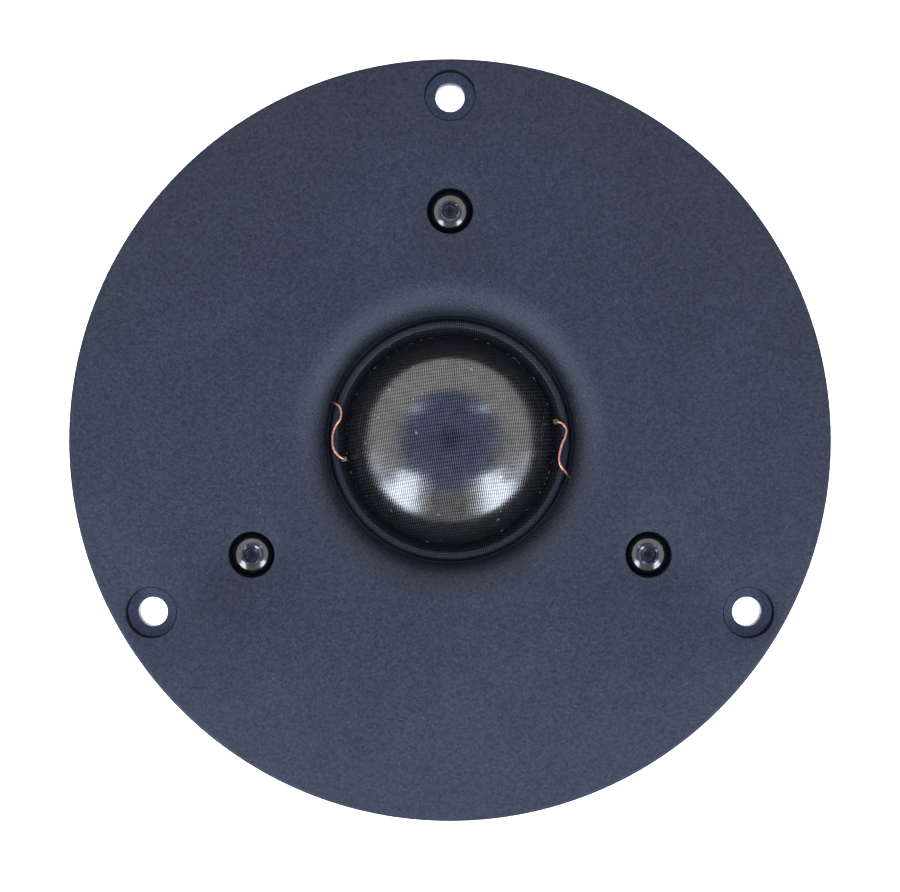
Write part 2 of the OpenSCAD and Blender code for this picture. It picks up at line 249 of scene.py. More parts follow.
def polar(radius, degrees):
    """Point in the plane at a radius and an angle."""
    a = math.radians(degrees)
    return radius * math.cos(a), radius * math.sin(a)


# ---------- Node helpers ----------

class Nodes:
    """Short way to add nodes to a node tree, with the coordinates that its patterns use."""

    def __init__(self, tree, coordinates):
        self.tree = tree
        self.coords = tree.nodes.new("ShaderNodeTexCoord").outputs[coordinates]

    def add(self, kind, inputs=None, **props):
        node = self.tree.nodes.new(kind)
        for key, value in props.items():
            setattr(node, key, value)
        for key, value in (inputs or {}).items():
            if isinstance(value, bpy.types.NodeSocket):
                self.tree.links.new(value, node.inputs[key])
            else:
                node.inputs[key].default_value = value
        return node

    def math(self, operation, a, b=0.0, c=0.0):
        return self.add("ShaderNodeMath", {0: a, 1: b, 2: c}, operation=operation).outputs[0]

    def noise(self, scale, detail, roughness):
        inputs = {"Vector": self.coords, "Scale": scale, "Detail": detail, "Roughness": roughness}
        return self.add("ShaderNodeTexNoise", inputs).outputs["Fac"]

    def ramp(self, value, stops):
        node = self.add("ShaderNodeValToRGB", {"Fac": value})
        elements = node.color_ramp.elements
        while len(elements) < len(stops):
            elements.new(0.5)
        for element, (position, colour) in zip(elements, stops):
            element.position = position
            element.color = (*colour, 1.0)
        return node.outputs["Color"]

    def range(self, value, low, high, out_low, out_high):
        """Value scaled from one span to another, and kept inside the second."""
        inputs = {"Value": value, "From Min": low, "From Max": high, "To Min": out_low, "To Max": out_high}
        return self.add("ShaderNodeMapRange", inputs).outputs["Result"]

    def blended(self, mode, a, b):
        """Two colours put together by multiplying or adding them."""
        inputs = {"Factor": 1.0, 6: a, 7: b}
        return self.add("ShaderNodeMix", inputs, data_type="RGBA", blend_type=mode).outputs[2]

    def by_radius(self, near, far, at_near, at_far):
        """Value that changes between two distances from the tweeter's axis, in millimetres."""
        split = self.add("ShaderNodeSeparateXYZ", {0: self.coords})
        x = split.outputs["X"]
        y = split.outputs["Y"]
        away = self.math("SQRT", self.math("MULTIPLY_ADD", x, x, self.math("MULTIPLY", y, y)))
        return self.range(away, near * MM, far * MM, at_near, at_far)

    def bump(self, height, strength, distance):
        inputs = {"Height": height, "Strength": strength, "Distance": distance}
        return self.add("ShaderNodeBump", inputs).outputs["Normal"]


class Surface(Nodes):
    """Nodes of a new material, whose patterns stay fixed to the object."""

    def __init__(self, name):
        self.material = bpy.data.materials.new(name)
        self.material.use_nodes = True
        super().__init__(self.material.node_tree, "Object")
        self.shader = self.tree.nodes["Principled BSDF"]

    def set(self, **values):
        """Sets inputs of the shader, each to a plain value or to the output of a node."""
        for key, value in values.items():
            socket = self.shader.inputs[key.replace("_", " ")]
            if isinstance(value, bpy.types.NodeSocket):
                self.tree.links.new(value, socket)
            else:
                socket.default_value = value


# ---------- Materials ----------

def anodised_material(name, painted_light_gain):
    """Fine matt grain, with painted shade darkening the throat and a painted highlight on the flare. The
    second argument scales it all as painted light and shade.
    """
    n = Surface(name)
    grain = n.noise(2900.0, 3.0, 0.7)
    patches = n.noise(90.0, 3.0, 0.55)
    specks = n.noise(3100.0, 1.0, 0.5)
    mixed = n.math("MULTIPLY_ADD", patches, 0.12, n.math("MULTIPLY", grain, 0.72))
    tones = [(0.28, (0.019, 0.0215, 0.0285)), (0.43, (0.031, 0.035, 0.0455)), (0.59, (0.046, 0.052, 0.067))]
    grained = n.ramp(mixed, [(place, tuple(painted_light_gain * part for part in tone)) for place, tone in tones])
    # Painted shade: the colour darkens down into the throat
    throat = n.by_radius(THROAT_R + 0.1, THROAT_R + 1.3, 0.75, 1.0)
    # Painted highlight: the colour brightens a little on the flare
    flare_painted_highlight = n.by_radius(MOUTH_R - 1.8, MOUTH_R + 0.8, 1.10, 1.0)
    shaded = n.blended("MULTIPLY", grained, n.math("MULTIPLY", throat, flare_painted_highlight))
    # Bright specks in the colour: partly dust, partly painted glints of the grain
    dust_and_glint_specks = n.ramp(specks, [(0.70, (0.0, 0.0, 0.0)), (0.80, (0.03, 0.032, 0.036))])
    n.set(Base_Color=n.blended("ADD", shaded, dust_and_glint_specks), Metallic=1.0)
    n.set(Roughness=n.range(grain, 0.3, 0.7, 0.60, 0.72))
    n.set(Specular_Tint=(0.32, 0.31, 0.33, 1.0), Normal=n.bump(grain, 1.0, 0.00009))
    return n.material


def bare_metal_material():
    """Bright drilled wall with fine tool marks."""
    n = Surface("bare_hole_wall")
    rings = n.noise(2600.0, 2.0, 0.6)
    colour = n.ramp(rings, [(0.3, (0.12, 0.105, 0.10)), (0.7, (0.34, 0.315, 0.31))])
    n.set(Base_Color=colour, Metallic=0.9, Roughness=n.range(rings, 0.3, 0.7, 0.3, 0.5))
    n.set(Normal=n.bump(rings, 0.2, 0.00002))
    return n.material


def weave_waves(n):
    """The two thread systems of the cloth, a little skewed: upright threads and level ribs, each 0 to 1."""
    split = n.add("ShaderNodeSeparateXYZ", {0: n.coords})
    x = split.outputs["X"]
    y = split.outputs["Y"]
    xx = n.math("MULTIPLY", x, x)
    yy = n.math("MULTIPLY", y, y)
    arc_x = n.math("MULTIPLY", x, n.math("MULTIPLY_ADD", xx, DOME_SPREAD, 1.0))
    arc_y = n.math("MULTIPLY", y, n.math("MULTIPLY_ADD", yy, DOME_SPREAD, 1.0))
    skew_x = n.math("MULTIPLY_ADD", y, 0.128, n.math("MULTIPLY_ADD", yy, -2.2, arc_x))
    skew_y = n.math("MULTIPLY_ADD", x, -0.138, n.math("MULTIPLY_ADD", xx, 4.0, arc_y))
    wobble = n.math("SUBTRACT", n.noise(700.0, 2.0, 0.5), 0.5)
    waves = []
    for distance, pitch in ((skew_x, THREAD_PITCH), (skew_y, RIB_PITCH)):
        turns = n.math("MULTIPLY_ADD", wobble, 0.3, n.math("DIVIDE", distance, pitch))
        wave = n.math("COSINE", n.math("MULTIPLY", turns, 2 * math.pi))
        waves.append(n.math("MULTIPLY_ADD", wave, 0.5, 0.5))
    return waves


def cloth_painted_light_and_shade(n):
    """Painted light and shade on the cloth by radius: even on the dome; painted shade on the roll's inner
    flank and at its outer foot and lip, painted light past its crest.
    """
    inner_flank = n.by_radius(15.1, 15.6, 0.76, 1.0)
    foot = n.by_radius(16.75, 17.0, 1.0, 0.42)
    crest = n.by_radius(15.8, 16.3, 1.0, 1.5)
    roll = n.math("MULTIPLY", n.math("MULTIPLY", inner_flank, foot), crest)
    return n.math("MAXIMUM", roll, n.by_radius(14.35, 14.45, 1.0, 0.0))


def cloth_material(name, gap, thread, crown, metallic, rough_low, rough_high, coat, coat_rough, rise):
    """Woven cloth under a clear coat: lighter thread tops, darker gaps, and an even gloss over both."""
    n = Surface(name)
    threads, ribs = weave_waves(n)
    tops = n.math("MULTIPLY_ADD", threads, 0.76, n.math("MULTIPLY", ribs, 0.24))
    uneven = n.noise(900.0, 3.0, 0.6)
    # Random uneven tone times the painted light and shade by radius
    shade = n.math("MULTIPLY", n.range(uneven, 0.3, 0.7, 0.85, 1.12), cloth_painted_light_and_shade(n))
    colour = n.ramp(n.math("MULTIPLY", tops, shade), [(0.15, gap), (0.55, thread), (0.95, crown)])
    dust = n.ramp(n.noise(1500.0, 0.0, 0.5), [(0.83, (0.0, 0.0, 0.0)), (0.87, (0.14, 0.14, 0.15))])
    n.set(Base_Color=n.blended("ADD", colour, dust), Metallic=n.by_radius(15.5, 16.3, *metallic))
    n.set(Specular_Tint=(0.35, 0.35, 0.36, 1.0))
    n.set(Roughness=n.range(tops, 0.2, 0.8, rough_high, rough_low))
    n.set(Coat_Weight=coat, Coat_Roughness=coat_rough)
    height = n.math("MULTIPLY_ADD", ribs, 0.12, n.math("MULTIPLY", threads, 0.88))
    n.set(Normal=n.bump(height, rise, WEAVE_RISE), Coat_Normal=n.bump(height, rise * 0.25, WEAVE_RISE))
    return n.material


def simple_material(name, dark, light, metallic, rough, scale, bump=0.2, distance=0.00003, shine=0.5):
    """Material whose colour and gloss vary a little with a grain."""
    n = Surface(name)
    grain = n.noise(scale, 3.0, 0.55)
    n.set(Base_Color=n.ramp(grain, [(0.3, dark), (0.7, light)]), Metallic=metallic)
    n.set(Roughness=n.range(grain, 0.3, 0.7, *rough))
    n.set(Normal=n.bump(grain, bump, distance), Specular_IOR_Level=shine)
    return n.material


def seam_material():
    """Dark glue with a few bright flecks where thread ends catch the light."""
    n = Surface("seam_glue")
    flecks = n.noise(1900.0, 1.0, 0.5)
    colour = n.ramp(flecks, [(0.62, (0.006, 0.006, 0.007)), (0.72, (0.14, 0.14, 0.14))])
    n.set(Base_Color=colour, Metallic=0.9)
    n.set(Roughness=n.range(flecks, 0.4, 0.7, 0.40, 0.20))
    n.set(Normal=n.bump(flecks, 0.5, 0.00006))
    return n.material


ANODISED = anodised_material("anodised_faceplate", 1.0)
# Copies of the plate finish: recess floors brightened as painted light, recess walls darkened as painted
# shade
RECESS_PAINTED_LIGHT = anodised_material("anodised_recess_painted_light", 2.05)
RECESS_WALL_PAINTED_SHADE = anodised_material("anodised_recess_wall_painted_shade", 0.35)
BARE = bare_metal_material()
DOME_CLOTH = cloth_material("coated_dome_cloth", (0.001, 0.001, 0.001), (0.024, 0.0235, 0.0245),
                            (0.102, 0.100, 0.103), (0.80, 0.80), 0.15, 0.27, 0.45, 0.13, 0.42)
ROLL_CLOTH = cloth_material("surround_cloth", (0.003, 0.003, 0.004), (0.018, 0.019, 0.022),
                            (0.040, 0.042, 0.048), (0.90, 0.50), 0.44, 0.58, 0.04, 0.30, 0.45)
SEAM = seam_material()
BLACK_STEEL = simple_material("blackened_screw_steel", (0.038, 0.037, 0.038), (0.058, 0.056, 0.057), 0.95,
                              (0.10, 0.20), 1400.0, 0.12, 0.00001)
# A darker copy of the screw steel for inside the socket: painted shade
SOCKET_STEEL_PAINTED_SHADE = simple_material("socket_steel_painted_shade", (0.016, 0.016, 0.018), (0.030, 0.030, 0.033), 0.9,
                               (0.30, 0.45), 2400.0, 0.3)
COPPER = simple_material("bare_copper", (0.38, 0.15, 0.10), (0.58, 0.27, 0.20), 1.0, (0.34, 0.46), 2500.0)
GLUE = simple_material("lead_glue", (0.04, 0.045, 0.018), (0.10, 0.105, 0.055), 0.0, (0.20, 0.35), 2200.0)
SOLDER = simple_material("solder", (0.22, 0.22, 0.23), (0.32, 0.325, 0.33), 1.0, (0.22, 0.38), 1800.0)
MOULDED = simple_material("moulded_chassis", (0.006, 0.006, 0.007), (0.012, 0.012, 0.013), 0.0,
                          (0.45, 0.60), 3000.0, 0.3, shine=0.2)
CUP = simple_material("moulded_rear_cup", (0.006, 0.006, 0.007), (0.013, 0.013, 0.014), 0.0,
                      (0.38, 0.52), 2200.0, 0.3, shine=0.25)
BRASS = simple_material("terminal_brass", (0.22, 0.15, 0.050), (0.31, 0.225, 0.085), 1.0,
                        (0.26, 0.38), 900.0)
RIVET = simple_material("rivet_steel", (0.16, 0.16, 0.165), (0.24, 0.24, 0.25), 1.0, (0.26, 0.38), 1500.0)
RED = simple_material("red_mark", (0.30, 0.008, 0.008), (0.40, 0.018, 0.015), 0.0, (0.35, 0.5), 1500.0,
                      shine=0.3)
PLATED = simple_material("zinc_plated_steel", (0.115, 0.118, 0.125), (0.175, 0.18, 0.19), 1.0,
                         (0.30, 0.44), 420.0)
FERRITE = simple_material("ferrite", (0.012, 0.012, 0.013), (0.022, 0.022, 0.024), 0.0, (0.55, 0.72),
                          2600.0, 0.4, 0.00005, shine=0.25)
FELT = simple_material("wool_felt", (0.16, 0.15, 0.135), (0.30, 0.285, 0.26), 0.0, (0.9, 1.0), 1800.0,
                       0.8, 0.0002)
WOOL = simple_material("damping_wool", (0.28, 0.27, 0.25), (0.46, 0.45, 0.42), 0.0, (0.9, 1.0), 900.0,
                       0.9, 0.0004)
FOAM = simple_material("foam_gasket", (0.006, 0.006, 0.006), (0.014, 0.014, 0.014), 0.0, (0.8, 0.95),
                       2400.0, 0.8, 0.0001, shine=0.2)
FILM = simple_material("former_film", (0.30, 0.13, 0.02), (0.42, 0.20, 0.05), 0.0, (0.2, 0.3), 600.0)
WINDING = simple_material("coil_wire", (0.28, 0.10, 0.035), (0.38, 0.15, 0.06), 0.8, (0.25, 0.35), 3000.0)


# ---------- Faceplate ----------

RING_SEGMENTS = 256
HOLE_SEGMENTS = 64
MIDDLE = (0, 0)
FLARE_END_Z = 0.12

# Radii at which the flats of the plate meet its rounded edges
FLARE_EDGE = MOUTH_R + 0.4
THROAT_EDGE = THROAT_R + 0.12
FRONT_RIM = PLATE_R - 0.46
REAR_RIM = PLATE_R - 0.26
RECESS_EDGE = RECESS_R + 0.13
COUNTERBORE_EDGE = COUNTERBORE_R + 0.09
MOUNT_HOLE_EDGE = MOUNT_HOLE_R + 0.10

# Channels under the plate for the lead-out wires
CHANNEL_START = 16.25
CHANNEL_LENGTH = 10.75
CHANNEL_WIDTH = 1.6
CHANNEL_DEPTH = 1.0


def plate_bands():
    """Two open bands from the front flat to the rear flat: the flare with the throat's edge, and the rim."""
    inner = [(FLARE_EDGE, PLATE_T)]
    last = math.acos((FLARE_R - PLATE_T + FLARE_END_Z) / FLARE_R)
    for k in range(33):
        a = last * k / 32
        inner.append((MOUTH_R - FLARE_R * math.sin(a), PLATE_T - FLARE_R + FLARE_R * math.cos(a)))
    inner += [(THROAT_R + 0.05, 0.03), (THROAT_EDGE, 0.0)]
    rim = [(FRONT_RIM, PLATE_T), (PLATE_R - 0.40, PLATE_T - 0.02), (PLATE_R - 0.36, PLATE_T - 0.05),
           (PLATE_R - 0.05, PLATE_T - 0.36), (PLATE_R - 0.02, PLATE_T - 0.40), (PLATE_R, PLATE_T - 0.46),
           (PLATE_R, 0.26), (PLATE_R - 0.03, 0.17), (PLATE_R - 0.17, 0.03), (REAR_RIM, 0.0)]
    return lathe(inner, RING_SEGMENTS, closed=False), lathe(rim, RING_SEGMENTS, closed=False)


def mounting_hole_wall():
    """Wall of a mounting hole from the front down: eased edge, recess, recess floor, through hole."""
    return [(RECESS_EDGE, PLATE_T), (RECESS_R + 0.10, PLATE_T - 0.01), (RECESS_R + 0.02, PLATE_T - 0.09),
            (RECESS_R, PLATE_T - 0.14), (RECESS_R, RECESS_Z + 0.06), (RECESS_R - 0.02, RECESS_Z + 0.01),
            (RECESS_R - 0.07, RECESS_Z), (MOUNT_HOLE_R + 0.08, RECESS_Z),
            (MOUNT_HOLE_R + 0.03, RECESS_Z - 0.03), (MOUNT_HOLE_R, RECESS_Z - 0.10), (MOUNT_HOLE_R, 0.12),
            (MOUNT_HOLE_R + 0.03, 0.04), (MOUNT_HOLE_EDGE, 0.0)]


def screw_hole_wall():
    """Wall of a screw's hole from the front down: eased edge, counterbore, seat, through hole."""
    return [(COUNTERBORE_EDGE, PLATE_T), (COUNTERBORE_R + 0.04, PLATE_T - 0.02),
            (COUNTERBORE_R, PLATE_T - 0.10), (COUNTERBORE_R, SEAT_Z + 0.10),
            (COUNTERBORE_R - 0.03, SEAT_Z + 0.02), (COUNTERBORE_R - 0.10, SEAT_Z),
            (SCREW_HOLE_R + 0.05, SEAT_Z), (SCREW_HOLE_R, SEAT_Z - 0.06), (SCREW_HOLE_R, 0.0)]


def hole_band(outline, centre):
    """Wall of a hole round a centre."""
    verts, faces = lathe(outline, HOLE_SEGMENTS, closed=False)
    return placed(verts, *centre), faces


def build_faceplate():
    inner, rim = plate_bands()
    bands = []
    front_holes = [circle_loop(MIDDLE, FLARE_EDGE, RING_SEGMENTS)]
    mount_holes = []
    screw_holes = []
    for angle in FIXING_ANGLES:
        mount = polar(MOUNT_R, angle)
        screw = polar(SCREW_R, angle)
        bands += [hole_band(mounting_hole_wall(), mount), hole_band(screw_hole_wall(), screw)]
        front_holes.append(circle_loop(mount, RECESS_EDGE, HOLE_SEGMENTS))
        front_holes.append(circle_loop(screw, COUNTERBORE_EDGE, HOLE_SEGMENTS))
        mount_holes.append(circle_loop(mount, MOUNT_HOLE_EDGE, HOLE_SEGMENTS))
        screw_holes.append(circle_loop(screw, SCREW_HOLE_R, HOLE_SEGMENTS))
    groove_walls = [(GROOVE_OUTER_R, 0.0), (GROOVE_OUTER_R, GROOVE_DEPTH), (GROOVE_INNER_R, GROOVE_DEPTH),
                    (GROOVE_INNER_R, 0.0)]
    groove = lathe(groove_walls, RING_SEGMENTS, closed=False)
    groove_outer = circle_loop(MIDDLE, GROOVE_OUTER_R, RING_SEGMENTS)
    groove_inner = circle_loop(MIDDLE, GROOVE_INNER_R, RING_SEGMENTS)
    throat = circle_loop(MIDDLE, THROAT_EDGE, RING_SEGMENTS)
    front = flat_face(circle_loop(MIDDLE, FRONT_RIM, RING_SEGMENTS), front_holes, PLATE_T)
    rear_outer = flat_face(circle_loop(MIDDLE, REAR_RIM, RING_SEGMENTS), [groove_outer] + mount_holes, 0.0)
    rear_inner = flat_face(groove_inner, [throat] + screw_holes, 0.0)
    verts, faces = joined(inner, rim, groove, front, rear_outer, rear_inner, *bands)
    slots = [ANODISED, BARE, RECESS_PAINTED_LIGHT, RECESS_WALL_PAINTED_SHADE]

    def slot_of(face):
        """Bare metal in the mounting holes, recess floors brightened as painted light, and recess walls
        darkened as painted shade.
        """
        centre = face.center / MM
        for angle in FIXING_ANGLES:
            x, y = polar(MOUNT_R, angle)
            away = math.hypot(centre.x - x, centre.y - y)
            if away < MOUNT_HOLE_R + 0.02 and centre.z < RECESS_Z - 0.08:
                return slots.index(BARE)
            if away < RECESS_R - 0.04 and centre.z < RECESS_Z + 0.02:
                return slots.index(RECESS_PAINTED_LIGHT)
            if away < RECESS_R + 0.12 and centre.z < PLATE_T - 0.005:
                return slots.index(RECESS_WALL_PAINTED_SHADE)
        return slots.index(ANODISED)

    plate = new_object("visual_faceplate", verts, faces, slots, 30.0, slot_of)
    cut_lead_channels(plate)
    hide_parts("faceplate")
    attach(plate, FIXED)


def cut_lead_channels(plate):
    """Cuts the two shallow channels that lead the wires out under the plate."""
    for side in (0.0, 180.0):
        a = math.radians(LEAD_ANGLE + side)
        bm = bmesh.new()
        bmesh.ops.create_cube(bm, size=1.0)
        for v in bm.verts:
            x = (CHANNEL_START + (v.co.x + 0.5) * CHANNEL_LENGTH) * MM
            y = v.co.y * CHANNEL_WIDTH * MM
            z = v.co.z * 2 * CHANNEL_DEPTH * MM
            v.co = Vector((x * math.cos(a) - y * math.sin(a), x * math.sin(a) + y * math.cos(a), z))
        mesh = bpy.data.meshes.new("channel_tool")
        bm.to_mesh(mesh)
        bm.free()
        tool = bpy.data.objects.new("channel_tool", mesh)
        bpy.context.scene.collection.objects.link(tool)
        cut = plate.modifiers.new("channel", "BOOLEAN")
        cut.operation = "DIFFERENCE"
        cut.solver = "EXACT"
        cut.object = tool
        bpy.context.view_layer.update()
        result = bpy.data.meshes.new_from_object(plate.evaluated_get(bpy.context.evaluated_depsgraph_get()))
        plate.modifiers.clear()
        plate.data = result
        bpy.data.objects.remove(tool)
    plate.data.set_sharp_from_angle(angle=math.radians(30))


build_faceplate()


# ---------- Screws ----------

# Radii, heights above the seat, and turns in degrees of the three screws
SCREW_SEGMENTS = 96
SCREW_TURNS = (12.0, 37.0, -8.0)
SCREW_END = -10.0
THREAD_R = 1.5
THREAD_STEP = 0.5
THREAD_DEPTH = 0.27
HEAD_TOP = 1.65
HEAD_R = 2.85
HEAD_FLAT_R = 1.3
HEAD_RIM = 1.38
HEAD_EDGE = 2.74
HEAD_SPHERE = 4.0
SOCKET_HALF = 1.0
SOCKET_CORNER = 1.13
SOCKET_TIP = 0.08


def screw_outline(angle):
    """Radii and heights of one meridian of a screw at an angle round it: socket, domed head, seat."""
    local = (angle + math.pi / 6) % (math.pi / 3) - math.pi / 6
    hexagon = min(SOCKET_HALF / math.cos(local), SOCKET_CORNER)
    sphere_z = HEAD_TOP - math.sqrt(HEAD_SPHERE ** 2 - HEAD_FLAT_R ** 2)
    points = [(0.80, 0.64), (hexagon * 0.96, 0.67), (hexagon, 0.72), (hexagon, 1.44)]
    points += [(hexagon + 0.02, 1.50), (HEAD_RIM - 0.05, 1.60)]
    for k in range(13):
        r = HEAD_RIM + (HEAD_EDGE - HEAD_RIM) * k / 12
        points.append((r, sphere_z + math.sqrt(HEAD_SPHERE ** 2 - r ** 2)))
    points += [(2.80, 0.70), (2.84, 0.62), (HEAD_R, 0.52), (HEAD_R, 0.10), (2.82, 0.03), (HEAD_EDGE, 0.0)]
    return points + [(THREAD_R, 0.0)]


def thread_outline():
    """Outline of the threaded shank drawn as closely spaced ridges, down to its blunt end."""
    points = []
    z = -0.4
    while z - THREAD_STEP > SCREW_END:
        points.append((THREAD_R, z))
        points.append((THREAD_R, z - THREAD_STEP * 0.12))
        points.append((THREAD_R - THREAD_DEPTH, z - THREAD_STEP * 0.5))
        points.append((THREAD_R - THREAD_DEPTH, z - THREAD_STEP * 0.62))
        z -= THREAD_STEP
    return points + [(THREAD_R, z), (THREAD_R - 0.25, SCREW_END)]


def screw_mesh(turn):
    """Verts and faces of a screw whose head sits on height 0, turned about its own axis by an angle."""
    verts = []
    columns = []
    for k in range(SCREW_SEGMENTS):
        a = 2 * math.pi * k / SCREW_SEGMENTS
        outline = screw_outline(a) + thread_outline()
        columns.append(list(range(len(verts), len(verts) + len(outline))))
        verts += [(r * math.cos(a + turn), r * math.sin(a + turn), z) for r, z in outline]
    tip = len(verts)
    verts += [(0, 0, SOCKET_TIP), (0, 0, SCREW_END)]
    faces = []
    for k in range(SCREW_SEGMENTS):
        one = [tip] + columns[k] + [tip + 1]
        two = [tip] + columns[(k + 1) % SCREW_SEGMENTS] + [tip + 1]
        for i in range(len(one) - 1):
            faces.append(distinct((one[i], two[i], two[i + 1], one[i + 1])))
    return verts, faces


def build_screws():
    for index, angle in enumerate(FIXING_ANGLES):
        verts, faces = screw_mesh(math.radians(SCREW_TURNS[index]))
        x, y = polar(SCREW_R, angle)
        verts = [(vx + x, vy + y, vz + SEAT_Z) for vx, vy, vz in verts]

        def slot_of(face, cx=x, cy=y):
            """The second material, the screw steel darkened as painted shade, inside the socket; the first
            everywhere else.
            """
            away = math.hypot(face.center.x / MM - cx, face.center.y / MM - cy)
            return 1 if away < SOCKET_CORNER - 0.01 and face.center.z / MM > SEAT_Z else 0

        name = "visual_screw_%d" % (index + 1)
        screw = new_object(name, verts, faces, [BLACK_STEEL, SOCKET_STEEL_PAINTED_SHADE], 32.0, slot_of)
        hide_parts("faceplate_screws")
        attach(screw, FIXED)


build_screws()


# ---------- Diaphragm ----------

def cloth_band(outer, segments):
    """Thin cloth ring or cap from an open (r, z) line on its outside, with its inside CLOTH below."""
    count = len(outer)
    inner = []
    for i, (r, z) in enumerate(outer):
        a = Vector(outer[max(i - 1, 0)])
        b = Vector(outer[min(i + 1, count - 1)])
        along = (b - a).normalized()
        normal = Vector((along.y, -along.x))
        if normal.y > 0:
            normal = -normal
        inner.append((max(r + normal.x * CLOTH, 0.0), z + normal.y * CLOTH))
    if outer[0][0] < 1e-6:
        inner[0] = (0.0, outer[0][1] - CLOTH)
        line = outer + inner[::-1]
        return lathe(line, segments, closed=False)
    return lathe(outer + inner[::-1], segments)


def build_dome():
    last = math.asin(DOME_EDGE / DOME_R)
    line = [(DOME_R * math.sin(last * k / 72), DOME_CENTRE + DOME_R * math.cos(last * k / 72))
            for k in range(73)]
    line[0] = (0.0, line[0][1])
    verts, faces = cloth_band(line, RING_SEGMENTS)
    dome = new_object("visual_dome", verts, faces, [DOME_CLOTH], 50.0)
    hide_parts("dome")
    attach(dome, MOVING)


def surround_line():
    """Outside of the surround: steep inner flank, round top, steeper outer flank, glued lip."""
    line = []
    foot_z = -0.30
    top_r = ROLL_MID - ROLL_R * math.sin(INNER_FLANK)
    top_z = ROLL_Z + ROLL_R * math.cos(INNER_FLANK)
    for k in range(6):
        z = foot_z + (top_z - foot_z) * k / 6
        line.append((top_r - (top_z - z) / math.tan(INNER_FLANK), z))
    for k in range(33):
        a = math.pi / 2 + INNER_FLANK - (INNER_FLANK + OUTER_FLANK) * k / 32
        line.append((ROLL_MID + ROLL_R * math.cos(a), ROLL_Z + ROLL_R * math.sin(a)))
    corner = line[-1][0] + line[-1][1] / math.tan(OUTER_FLANK)
    fillet_r = corner + FOOT_FILLET * math.tan(OUTER_FLANK / 2)
    for k in range(9):
        a = OUTER_FLANK * (1 - k / 8)
        line.append((fillet_r - FOOT_FILLET * math.sin(a), FOOT_FILLET - FOOT_FILLET * math.cos(a)))
    return line + [(17.1, 0.0), (17.6, 0.0), (LIP_R, 0.0)]


def build_surround():
    verts, faces = cloth_band(surround_line(), RING_SEGMENTS)
    ring = new_object("visual_surround", verts, faces, [ROLL_CLOTH], 50.0)
    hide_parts("surround")
    outer = ROLL_MID + ROLL_R
    inner = DOME_EDGE
    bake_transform(ring, FIXED, MOVING, (outer * MM, 0, 0), (inner * MM, 0, 0))
    spread = ring.data.attributes["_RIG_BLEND"].data
    for vertex in ring.data.vertices:
        r = math.hypot(vertex.co.x, vertex.co.y) / MM
        t = min(max((outer - r) / (outer - inner), 0.0), 1.0)
        spread[vertex.index].value = t * t * (3 - 2 * t)


def build_seam():
    """Thin bead of glue in the groove between the dome and the surround."""
    verts, faces = lathe(circle_loop((SEAM_R, SEAM_Z), SEAM_BEAD_R, 12), 360)
    seam = new_object("visual_seam_glue", verts, faces, [SEAM], 80.0)
    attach(seam, MOVING)


build_dome()
build_surround()
build_seam()


# ---------- Lead-out wires ----------

# Routes of the two wires as radius, angle past the lead angle, height
LEFT_ROUTE = [(24.7, 0, -0.6), (23.4, 0, -0.55), (21.6, 0, -0.05), (19.6, 0, 0.5), (17.4, 0, 0.65),
              (16.9, 0.1, 1), (16.4, 0.5, 1.3), (15.9, 1.3, 1.5), (15.5, 3.5, 1.55), (15.4, 7, 1.6),
              (15.9, 11, 1.65), (16.2, 16, 1.65), (16.1, 22, 1.6), (15.5, 26, 1.4), (15.1, 27.4, 1.1),
              (14.8, 28, 0.75)]
RIGHT_ROUTE = [(24.7, 0, -0.6), (23.4, 0, -0.55), (21.6, 0, -0.05), (19.6, 0.3, 0.5), (17.4, 1.2, 0.65),
               (16.9, 1.9, 1), (16.4, 3, 1.3), (15.9, 4.2, 1.5), (15.4, 6.5, 1.55), (15.2, 10, 1.6),
               (15.4, 15.5, 1.65), (15.9, 20, 1.65), (16.1, 23.5, 1.6), (15.6, 26.5, 1.4), (15.1, 27.6, 1.1),
               (14.8, 28, 0.75)]
WIRE_R = 0.17
CURVE_STEPS = 8

# Route points that the plate holds, and the length at the other end that the glue holds
HELD_POINTS = 4
GLUED_LENGTH = 0.4

# Centres and half sizes of the glue dots: outwards from the axis, round it, and up
DOT_R = 14.88
DOT_Z = 0.42
DOT_HALF = (0.48, 0.40, 0.42)


def smooth_line(points, steps):
    """Catmull-Rom curve through points."""
    out = []
    count = len(points)
    for i in range(count - 1):
        a, b, c, d = (points[min(max(i + k, 0), count - 1)] for k in (-1, 0, 1, 2))
        for k in range(steps):
            t = k / steps
            out.append(0.5 * (2 * b + (c - a) * t + (2 * a - 5 * b + 4 * c - d) * t * t
                              + (3 * b - 3 * c + d - a) * t * t * t))
    out.append(points[-1])
    return out


def tube(line, radius, sides):
    """Verts and faces of a round wire along a line of points."""
    verts = []
    faces = []
    for i, point in enumerate(line):
        heading = (line[min(i + 1, len(line) - 1)] - line[max(i - 1, 0)]).normalized()
        side = Vector((0, 0, 1)).cross(heading).normalized()
        up = heading.cross(side)
        for k in range(sides):
            a = 2 * math.pi * k / sides
            verts.append(tuple(point + side * radius * math.cos(a) + up * radius * math.sin(a)))
    for i in range(len(line) - 1):
        for k in range(sides):
            n = (k + 1) % sides
            faces.append([i * sides + k, i * sides + n, (i + 1) * sides + n, (i + 1) * sides + k])
    faces.append(list(range(sides)))
    faces.append(list(range((len(line) - 1) * sides, len(line) * sides)))
    return verts, faces


